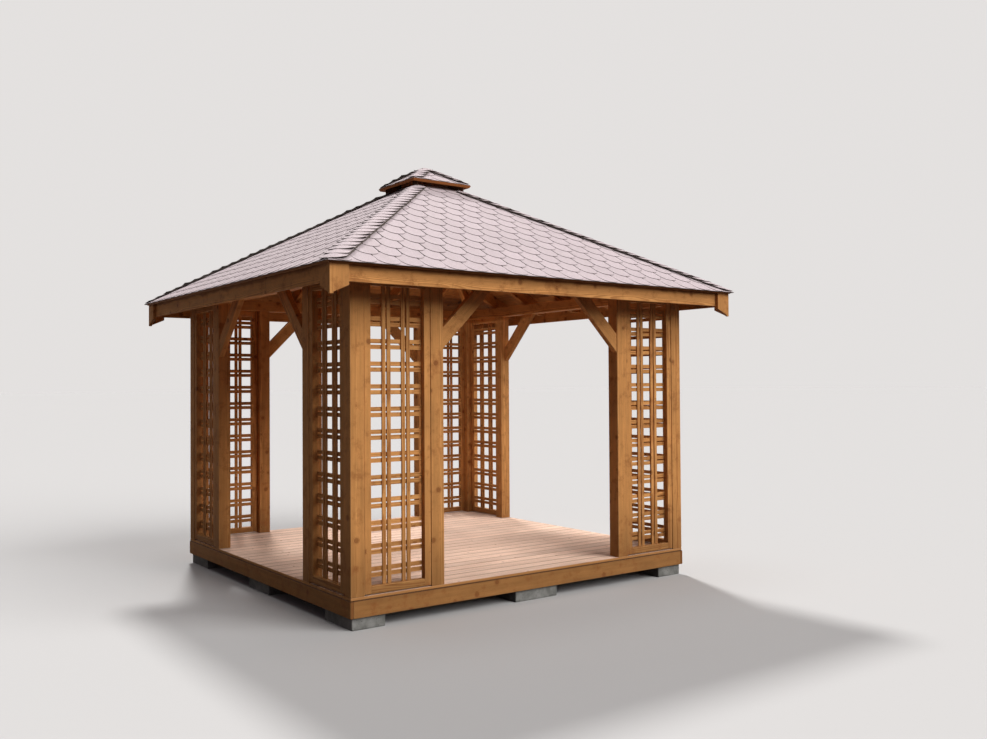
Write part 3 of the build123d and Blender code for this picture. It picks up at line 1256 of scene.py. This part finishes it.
@dataclass
class Walls(Assembly):
    """Posts, lattice panels, top plates and knee braces."""

    ease: float = 0.004
    stile: float = 0.048
    stile_ease: float = 0.003
    slat_width: float = 0.028
    slat_depth: float = 0.010
    slat_gap: float = 0.010
    slat_pitch: float = 0.146
    slat_ease: float = 0.0016
    pair_columns: int = 2
    pair_rows: int = 13
    joint: float = 0.0022

    def pairs(self, count: int) -> Array:
        """The middles of paired slats about the middle of a panel.

        Args:
            count: How many pairs there are.

        Returns:
            Two places for each pair, half a slat and half a gap to either side of its own middle.
        """
        middles = (np.arange(count) - (count - 1) / 2) * self.slat_pitch
        apart = np.array([-0.5, 0.5]) * (self.slat_width + self.slat_gap)
        return (middles[:, None] + apart).ravel()

    def panel(self, node: str, quarters: int) -> list[Surface]:
        """One lattice panel: stiles, rails, level slats at the back and upright slats before them.

        Args:
            node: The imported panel.
            quarters: Its side, in quarter turns from the front.

        Returns:
            One surface for each bar.
        """
        low, high = front_span(node, quarters)
        left, right = low[0] + self.joint, high[0] - self.joint
        bottom, top = low[2], high[2]
        middle, depth = (low[1] + high[1]) / 2, high[1] - low[1]
        back = high[1] - self.slat_depth / 2
        front = back - self.slat_depth
        stile, half = self.stile, self.stile / 2
        across, upward = (1, 0, 0), (0, 0, 1)
        bars = []

        def bar(
            start: Place, finish: Place, wide: Place, width: float, thick: float, ease: float
        ) -> None:
            """Adds one bar in the front side's frame, turned to the panel's own side."""
            ends = turned(np.array([start, finish, wide], float), quarters)
            bars.append(stick(*ends, width, thick, ease, self.palette.chance()))

        frame_bar = (stile, depth, self.stile_ease)
        for side in (left + half, right - half):
            bar((side, middle, bottom), (side, middle, top), across, *frame_bar)
        for height in (bottom + half, top - half):
            bar((left + stile, middle, height), (right - stile, middle, height), upward, *frame_bar)
        slat = (self.slat_width, self.slat_depth, self.slat_ease)
        for height in (bottom + top) / 2 + self.pairs(self.pair_rows):
            bar((left + stile, back, height), (right - stile, back, height), upward, *slat)
        for side in (left + right) / 2 + self.pairs(self.pair_columns):
            bar((side, front, bottom + stile), (side, front, top - stile), across, *slat)
        return bars

    def build(self) -> None:
        """Builds the walls' pieces."""
        for node in ("corner_posts", "door_posts"):
            self.ease_node(f"eased_{node}", node, self.ease)
        for side, quarters in SIDE_TURNS.items():
            for node in sorted(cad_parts):
                if node.startswith(f"lattice_{side}_"):
                    bars = self.panel(node, quarters)
                    add_piece(f"bars_{node}", bars, self.palette.wood, (node,))
            for node in (f"top_plate_{side}", f"knee_braces_{side}"):
                self.ease_node(f"eased_{node}", node, self.ease)


@dataclass
class RoofFrame(Assembly):
    """King block, rafters, fascia, corner boards and the cap's battens."""

    ease: float = 0.003
    inner: tuple[str, ...] = ("king_block", "hip_rafters", "common_rafters", "jack_rafters")

    def build(self) -> None:
        """Builds the roof's timbers as eased copies."""
        fascias = (f"fascia_{side}" for side in SIDE_TURNS)
        for node in (*self.inner, *fascias, "corner_boards"):
            self.ease_node(f"eased_{node}", node, self.ease)
        # The cap's battens take the near-black wood: painted shade under the cap.
        dark = (Finish.STAINED_WOOD, self.palette.batten_wood_painted_shade)
        self.ease_node("eased_cap_battens", "cap_battens", self.ease, *dark)


@dataclass(frozen=True)
class Slope:
    """The front slope of a hipped roof: a runs along the eave, b up the slope and n out of it."""

    peak: float
    eave: float
    pitch: float

    def place(self, a: Array, b: Array, n: Array | float) -> Array:
        """Points of the slope: out from the middle goes the eave less b cos p plus n sin p.

        Args:
            a: Distance along the eave from its middle.
            b: Distance up the slope from the eave.
            n: Distance out of the bed.

        Returns:
            The points.
        """
        a, b, n = np.broadcast_arrays(a, b, n)
        foot = self.peak - self.eave * np.tan(self.pitch)
        height = foot + b * np.sin(self.pitch) + n * np.cos(self.pitch)
        return np.stack([a, -self.reach(b, n), height], axis=-1)

    def reach(self, b: Array | float, n: Array | float) -> Array | float:
        """How far out the slope is at b: also half its width, as the hips run at 45 degrees."""
        return self.eave - b * np.cos(self.pitch) + n * np.sin(self.pitch)

    def up_to(self, reach: float) -> float:
        """How far up the slope a distance out from the middle lies."""
        return (self.eave - reach) / np.cos(self.pitch)


class Hip:
    """The hip between the front and the left slope, with axes along it, across it and out of it."""

    def __init__(self, slope: Slope) -> None:
        """Works out the hip's axes, its lower corner and how the slopes fall away from it.

        The fall is how far a slope drops for each metre across the hip, and the cosine is that of
        its angle. The chevron is how far along the hip a level line runs for each metre across.

        Args:
            slope: The front slope.
        """
        rise = np.tan(slope.pitch)
        self.slant = np.sqrt(2 + rise**2)
        self.along = np.array([1.0, 1.0, rise]) / self.slant
        self.across = np.array([1.0, -1.0, 0.0]) / np.sqrt(2)
        outward = np.cross(self.across, self.along)
        self.outward = outward * np.sign(outward[2])
        normal = np.array([0.0, -np.sin(slope.pitch), np.cos(slope.pitch)])
        self.fall = float(normal @ self.across) / float(normal @ self.outward)
        self.chevron = self.fall * self.outward[2] / self.along[2]
        self.corner = np.array([-slope.eave, -slope.eave, slope.peak - slope.eave * rise])
        self.cosine = np.cos(np.arctan(self.fall))


@dataclass
class RoofCover(Assembly):
    """Boarding, shingles, hip strips and the raised cap."""

    pitch: float = np.radians(29.5)
    rafter_peak: float = 3.2746
    boarding: float = 0.020
    board_width: float = 0.095
    board_gap: float = 0.001
    board_mitre: float = 0.0008
    board_groove: float = 0.003
    felt: float = 0.0039
    bare_felt: float = 0.0006
    bare_felt_start: float = 0.1
    starter: float = 0.12
    side_gap: float = 0.004
    least_length: float = 0.02
    exposure: float = 0.1436
    phase: float = -0.03
    tab_pitch: float = 0.167
    tab_slot: float = 0.009
    tab_curve: float = 0.072
    tab_roundness: float = 2.2
    tab_fullness: float = 0.985
    tab_lap: float = 0.05
    tab_gap: float = 0.002
    tab_least: float = 0.03
    tab_lift: float = 0.0006
    vent: float = 0.160
    strip_half: float = 0.087
    strip_exposure: float = 0.093
    strip_start: float = 0.014
    strip_reach: float = 2.2
    strip_play: float = 0.05
    strip_round: float = 0.018
    strip_clear: float = 0.0004
    strip_curl: float = 0.015
    curl_least: float = 0.35
    curl_reach: float = 0.8
    strip_stand: float = 0.004
    strip_rim: float = 0.95
    strip_pinch: float = 0.62
    pinch_reach: float = 0.24
    batten_clear: float = 0.30
    cap_boarding: float = 0.022
    cap_groove: float = 0.002
    cap_felt: float = 0.008
    cap_exposure: float = 0.12
    cap_phase: float = 0.02
    cap_boards_end: float = 0.006
    cap_tabs_end: float = 0.004
    cap_strip_half: float = 0.07
    cap_strip_exposure: float = 0.08
    cap_strip_end: float = 0.03
    peak_half: float = 0.055
    peak_round: float = 0.03
    peak_thickness: float = 0.65
    peak_clear: float = 0.0005

    def mitred_boards(
        self, slope: Slope, top: float, thickness: float, groove: float
    ) -> list[Surface]:
        """Boards laid level up the slope, each cut at the hips.

        A board is its outline in b and n carried along a, from one hip to the other.

        Args:
            slope: The slope whose bed is the boards' underside.
            top: How far out from the middle the last board ends.
            thickness: The boards' thickness.
            groove: The size of the bevels between boards.

        Returns:
            The boards of the front side.
        """
        length = slope.up_to(top)
        count = max(2, round(length / self.board_width))
        width = length / count
        bevels = np.array([False, True, False, True, False, False])
        boards = []
        for index in range(count):
            low, high = index * width, (index + 1) * width - self.board_gap
            under = [[low, groove], [low + groove, 0.0], [high - groove, 0.0], [high, groove]]
            outline = np.array([[low, thickness], *under, [high, thickness]])
            half = slope.reach(*outline.T) - self.board_mitre
            ends = [(-half, 0.0), (half, 0.0)]
            board = carried(outline, bevels, ends, self.palette.chance(), cut_ends=False)
            a, b, n = board.points.T
            board.grain = np.stack([a, b - (low + high) / 2, n - thickness / 2], axis=-1)
            board.points = slope.place(a, b, n)
            boards.append(board)
        return boards

    def underlay(self, slope: Slope, length: float) -> list[Surface]:
        """What lies under the courses of tabs: a starter strip and a sheet of bare felt.

        Both are as wide as the slope at each b, less a gap at the sides.

        Args:
            slope: The slope whose bed is the boarding.
            length: How far up the slope the felt reaches.

        Returns:
            The strip and the sheet of the front side.
        """
        found = []
        for low, high, columns, thickness in (
            (0.0, self.starter, 25, self.felt),
            (self.bare_felt_start, length, 2, self.bare_felt),
        ):
            b = np.repeat([[low], [high]], columns, axis=1)
            a = np.linspace(-1, 1, columns)[None, :] * (slope.reach(b, 0.0) - self.side_gap)
            grain = np.stack([a, b, np.zeros_like(a)], axis=-1)
            top, bottom = slope.place(a, b, thickness), slope.place(a, b, 0.0)
            found.append(slab(top, bottom, grain, MIDDLING))
        found[1].end[:] = 1.0
        return found

    def tab(
        self, slope: Slope, centre: float, start: float, stop: float, exposure: float
    ) -> Surface:
        """One beaver-tail tab, cut off at the hips.

        Its lower edge is a rounded bow: the height there is the curve's depth times one less the
        root of one less a power of the place across. It rests on the course below at its lower
        edge, and from there up it comes down to the bed.

        Args:
            slope: The slope whose bed is the boarding.
            centre: Where its middle lies along the eave.
            start: How far up the slope it begins.
            stop: How far up the slope it ends.
            exposure: How much of each course shows.

        Returns:
            The tab.
        """
        half = (self.tab_pitch - self.tab_slot) / 2
        u = np.linspace(-1, 1, 13)[None, :]
        v = np.array([0.0, 0.3, 0.62, 1.0])[:, None]
        drawn_in = np.abs(u) ** self.tab_roundness * self.tab_fullness
        bow = self.tab_curve * (1 - np.sqrt(1 - drawn_in))
        b = start + bow + v * (stop - start - bow)
        edge = slope.reach(b, 0.0) - self.tab_gap
        left = np.clip(centre - half, -edge, edge)
        right = np.clip(centre + half, -edge, edge)
        a = left + (u + 1) / 2 * (right - left)
        rest = np.maximum(0.0, 1 - (b - start) / exposure) * self.felt
        lift = self.palette.chance() * self.tab_lift
        under = np.minimum(rest, self.felt - lift)
        top, bottom = slope.place(a, b, under + self.felt), slope.place(a, b, under)
        return slab(top, bottom, np.stack([a, b, under], axis=-1), self.palette.chance())

    def tabs(self, slope: Slope, top: float, phase: float, exposure: float) -> list[Surface]:
        """Courses of tabs, each shifted by half a tab, over the starter strip and the bare felt.

        Args:
            slope: The slope whose bed is the boarding.
            top: How far out from the middle the highest course ends.
            phase: Where a tab's middle lies in the first course.
            exposure: How much of each course shows.

        Returns:
            The tabs of the front side.
        """
        length = slope.up_to(top)
        half = (self.tab_pitch - self.tab_slot) / 2
        found = self.underlay(slope, length)
        for course in range(int(np.ceil(length / exposure))):
            start = course * exposure
            stop = min(start + exposure + self.tab_lap, length)
            if stop - start < self.least_length:
                continue
            limit = float(slope.reach(start, 0.0))
            shift = phase + (course % 2) * self.tab_pitch / 2
            first = int(np.floor((-limit - shift) / self.tab_pitch))
            last = int(np.ceil((limit - shift) / self.tab_pitch))
            for centre in shift + np.arange(first, last + 1) * self.tab_pitch:
                if abs(centre) - half <= limit - self.tab_least:
                    found.append(self.tab(slope, centre, start, stop, exposure))
        return found

    def strips(
        self, slope: Slope, stop: float, half_width: float, exposure: float
    ) -> list[Surface]:
        """Strips folded over the hip between the front and the left slope.

        In the section across the hip a strip falls from the crest as the root of the distance
        squared plus a small radius squared, scaled so that it meets the slopes at its side edges:
        the fold is round. Each end is a chevron, level with the eaves on both slopes, so its place
        along the hip grows with the distance from the crest. A strip lies on the two below it at
        its lower end and on the slope from twice its exposure up. Its lower edge is pinched thin
        where it folds, its side edges stand a little off the slope, and its lower corners curl up,
        each by its own chance.

        Args:
            slope: The slope whose bed is the boarding.
            stop: How far out from the middle, along the hip in plan, the strips end.
            half_width: How far a strip reaches down each slope.
            exposure: How much of each strip shows.

        Returns:
            The strips.
        """
        hip, chances, felt = Hip(slope), self.palette.chances, self.felt
        length = (slope.eave - stop / np.sqrt(2)) * hip.slant
        u = np.sort(np.append(np.linspace(-1, 1, 15), [-self.strip_rim, self.strip_rim]))
        v = np.array([0.0, 0.1, 0.24, 0.5, 1.0])[:, None]
        side, aside = (u > 0).astype(int), np.abs(u)
        half, radius = half_width * hip.cosine, self.strip_round
        base = 2 * felt / hip.cosine + self.strip_clear
        edge_fall = half / (np.sqrt(half**2 + radius**2) - radius)
        strips = []
        for number in range(int(np.ceil((length - self.strip_start) / exposure))):
            w = u * half * (1 + self.strip_play * (chances.random(2) - 0.5))[side]
            lower = self.strip_start + number * exposure + np.abs(w) * hip.chevron
            upper = np.minimum(lower + self.strip_reach * exposure, length)
            if (upper - lower).min() < self.least_length:
                continue
            t = lower + v * (upper - lower)
            past = (t - lower) / exposure
            rest = min(number, 2) * felt * np.maximum(0.0, 1 - past / 2)
            share = self.curl_least + (1 - self.curl_least) * chances.random(2) ** 1.5
            curl = (self.strip_curl * share)[side]
            lift = curl * aside**1.9 * np.maximum(0.0, 1 - past / self.curl_reach) ** 1.5
            lift = lift + self.strip_stand * aside**3
            drop = hip.fall * edge_fall * (np.sqrt(w**2 + radius**2) - radius)
            level = base + rest + lift - drop
            pinch = self.strip_pinch * np.maximum(0.0, 1 - past / self.pinch_reach)
            upper_level = level + felt * (1 - pinch * (1 - aside**1.5))
            point = hip.corner + t[..., None] * hip.along + w[None, :, None] * hip.across
            top, bottom = (point + n[..., None] * hip.outward for n in (upper_level, level))
            grain = np.stack([np.broadcast_to(w, t.shape), t, level], axis=-1)
            strip = slab(top, bottom, grain, self.palette.chance())
            # Along both side edges, the top's outermost columns take the felt's dark colour too: a
            # dark band along the sides.
            shown = strip.end[: (len(v) - 1) * (len(u) - 1)].reshape(len(v) - 1, -1)
            shown[:, [0, -1]] = 1.0
            strips.append(strip)
        return strips

    def peak(self, top: float) -> Surface:
        """A square of felt folded over the peak, where the strips of the four hips meet.

        It falls from the top as the root of the larger distance out squared plus a radius squared.

        Args:
            top: How high it reaches.

        Returns:
            The square.
        """
        side = np.linspace(-self.peak_half, self.peak_half, 9)
        x, y = np.meshgrid(side, side, indexing="ij")
        out = np.maximum(np.abs(x), np.abs(y))
        fall = np.tan(self.pitch) * (np.sqrt(out**2 + self.peak_round**2) - self.peak_round)
        upper = np.stack([x, y, top - fall], axis=-1)
        under = upper - np.array([0.0, 0.0, self.peak_thickness * self.felt])
        return slab(upper, under, upper, MIDDLING)

    def all_round(self, surfaces: list[Surface], quarters: int) -> list[Surface]:
        """The front side's surfaces turned to another side."""
        return [replace(surface, points=turned(surface.points, quarters)) for surface in surfaces]

    def build_slopes(self) -> None:
        """Builds the boarding and the shingles of the four slopes."""
        palette, lean, upright = self.palette, np.sin(self.pitch), 1 / np.cos(self.pitch)
        eave = -span_of("roof_boarding_front")[0][1]
        shingle_eave = -span_of("roof_shingles_front")[0][1]
        bed = self.rafter_peak + self.boarding * upright
        lined = Slope(self.rafter_peak, eave - self.boarding * lean, self.pitch)
        cover = Slope(bed, shingle_eave - 2 * self.felt * lean, self.pitch)
        for side, quarters in SIDE_TURNS.items():
            boards = self.mitred_boards(lined, self.vent, self.boarding, self.board_groove)
            boards = self.all_round(boards, quarters)
            nodes = (f"roof_boarding_{side}",)
            add_piece(f"boards_{side}", boards, palette.wood, nodes)
            tabs = self.tabs(cover, self.vent, self.phase, self.exposure)
            tabs += self.strips(cover, self.batten_clear, self.strip_half, self.strip_exposure)
            tabs = self.all_round(tabs, quarters)
            nodes = (f"roof_shingles_{side}",)
            add_piece(f"tabs_{side}", tabs, palette.shingle, nodes)

    def build_cap(self) -> None:
        """Builds the raised cap over the vent."""
        palette, lean, upright = self.palette, np.sin(self.pitch), 1 / np.cos(self.pitch)
        edge = span_of("cap_boarding")[1][0]
        top = span_of("cap_shingles")[1][2]
        bed = top - self.cap_felt * upright
        under = bed - self.cap_boarding * upright
        lined = Slope(under, edge - self.cap_boarding * lean, self.pitch)
        cover = Slope(bed, edge - 2 * self.felt * lean, self.pitch)
        boards, tabs = [], []
        strip_sizes = (self.cap_strip_end, self.cap_strip_half, self.cap_strip_exposure)
        for quarters in SIDE_TURNS.values():
            lining = (self.cap_boards_end, self.cap_boarding, self.cap_groove)
            boards += self.all_round(self.mitred_boards(lined, *lining), quarters)
            courses = self.tabs(cover, self.cap_tabs_end, self.cap_phase, self.cap_exposure)
            tabs += self.all_round(courses + self.strips(cover, *strip_sizes), quarters)
        tabs.append(self.peak(top - self.peak_clear))
        add_piece("cap_boards", boards, palette.cap_wood, ("cap_boarding",))
        add_piece("cap_tabs", tabs, palette.shingle, ("cap_shingles",))

    def build(self) -> None:
        """Builds the roof's covering, side by side, and the cap."""
        self.build_slopes()
        self.build_cap()


@dataclass(frozen=True)
class Lamp:
    """A distant soft lamp: its direction, how wide it looks, and the light it gives."""

    name: str
    towards: Place
    degrees: float
    level: float
    tone: Colour
    distance: float = 12.0

    def build(self) -> None:
        """Hangs the lamp: a white surface that faces it is lit to its level."""
        light = bpy.data.lights.new(self.name, "SUN")
        light.angle = np.radians(self.degrees)
        light.energy = self.level * np.pi
        light.color = self.tone
        back = unit(self.towards)
        right = unit(np.cross([0.0, 1.0, 0.0], back))
        stand = put(self.name, light)
        stand.matrix_world = aimed(right, np.cross(back, right), back, back * self.distance)


@dataclass(frozen=True)
class Lantern:
    """A soft square under the rafters, facing down, for the deck that the roof shades."""

    place: Place = (0.5, 0.25, 2.2)
    side: float = 2.4
    power: float = 14.5
    spread: float = 66.0

    def build(self) -> None:
        """Hangs the square, unseen by the camera."""
        light = bpy.data.lights.new("lantern", "AREA")
        light.shape = "SQUARE"
        light.size = self.side
        light.energy = self.power
        light.spread = np.radians(self.spread)
        hung = put("lantern", light)
        hung.location = self.place
        hung.visible_camera = False


@dataclass(frozen=True)
class View:
    """The camera at the photograph's angle, which is in radians and pixels."""

    eye: Place = (-4.2885, -6.8177, 1.5322)
    yaw: float = 0.6334
    tilt: float = 0.0175
    roll: float = -0.0062
    focal_pixels: float = 946.96
    picture_width: int = 987
    film_width: float = 36.0
    farthest: float = 2000.0

    def build(self) -> None:
        """Sets the camera: forward is yaw to the right of +Y and tilt upwards, then the roll."""
        flat = np.cos(self.tilt)
        forward = np.array([np.sin(self.yaw) * flat, np.cos(self.yaw) * flat, np.sin(self.tilt)])
        right = np.array([np.cos(self.yaw), -np.sin(self.yaw), 0.0])
        upward = np.cross(right, forward)
        turned_right = np.cos(self.roll) * right + np.sin(self.roll) * upward
        turned_up = -np.sin(self.roll) * right + np.cos(self.roll) * upward
        lens = bpy.data.cameras.new("view")
        lens.sensor_width = self.film_width
        lens.sensor_fit = "HORIZONTAL"
        lens.lens = self.focal_pixels / self.picture_width * self.film_width
        lens.clip_end = self.farthest
        camera = put("view", lens)
        camera.matrix_world = aimed(turned_right, turned_up, -forward, self.eye)
        bpy.context.scene.camera = camera


@dataclass
class Studio:
    """A plain pale floor, an even sky, soft lamps and the camera."""

    floor_shown: Colour = (0.52, 0.52, 0.52)
    floor_bounce: Colour = (0.06, 0.048, 0.050)
    floor_reach: float = 400.0
    sky_level: float = 0.10
    sky_tone: Colour = (1.0, 0.84, 0.90)
    view: View = View()
    lantern: Lantern = Lantern()
    lamps: tuple[Lamp, ...] = (
        Lamp("behind", (0.30, 0.83, 1.0), 7.0, 0.88, (1.0, 0.98, 0.96)),
        Lamp("front", (0.36, -0.80, 0.62), 50.0, 0.95, (1.0, 0.98, 0.96)),
        Lamp("overhead", (-0.10, 0.05, 1.0), 34.0, 0.18, (1.0, 0.99, 0.98)),
    )

    def lit_floor(self) -> Colour:
        """What the lit floor looks like.

        Returns:
            Its colour times the light: each lamp's level times the rise of its direction, and
            the sky's.
        """
        light = self.sky_level * np.array(self.sky_tone)
        for lamp in self.lamps:
            light = light + lamp.level * unit(lamp.towards)[2] * np.array(lamp.tone)
        return tuple(np.array(self.floor_shown) * light)

    def floor(self) -> None:
        """A wide floor: pale to the camera, darker to the light that it throws back up."""
        tree = Tree.of_material("studio_floor")
        colour = tree.mix(tree.seen(), self.floor_bounce, self.floor_shown)
        surface = tree.node("ShaderNodeBsdfDiffuse", {}, {"Color": colour})
        tree.close(surface, "ShaderNodeOutputMaterial")
        corners = np.array([[-1, -1, 0], [1, -1, 0], [1, 1, 0], [-1, 1, 0]]) * self.floor_reach
        mesh = bpy.data.meshes.new("studio_floor")
        mesh.from_pydata(corners.tolist(), [], [[0, 1, 2, 3]])
        mesh.materials.append(tree.owner)
        put("studio_floor", mesh)

    def sky(self) -> None:
        """An even pale sky: dim to the object, and to the camera the same as the lit floor."""
        world = bpy.data.worlds.new("studio")
        bpy.context.scene.world = world
        tree = Tree(world)
        dim, shown = (
            tree.node("ShaderNodeBackground", {}, {"Color": colour, "Strength": strength})
            for colour, strength in ((self.sky_tone, self.sky_level), (self.lit_floor(), 1.0))
        )
        both = tree.node("ShaderNodeMixShader", {}, {0: tree.seen(), 1: dim, 2: shown})
        tree.close(both, "ShaderNodeOutputWorld")

    def build(self) -> None:
        """Sets up the camera, the floor, the sky and the lamps."""
        bpy.context.scene.view_settings.view_transform = "Standard"
        self.view.build()
        self.floor()
        self.sky()
        for lamp in (self.lantern, *self.lamps):
            lamp.build()


def main() -> None:
    """Builds the studio and every piece."""
    logging.basicConfig(level=logging.INFO, format="%(name)s: %(message)s", stream=sys.stdout)
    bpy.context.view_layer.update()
    palette = Palette()
    Studio().build()
    for assembly in (Floor(palette), Walls(palette), RoofFrame(palette), RoofCover(palette)):
        assembly.build()
        log.info("%s is built", type(assembly).__name__)


if __name__ == "__main__":
    main()
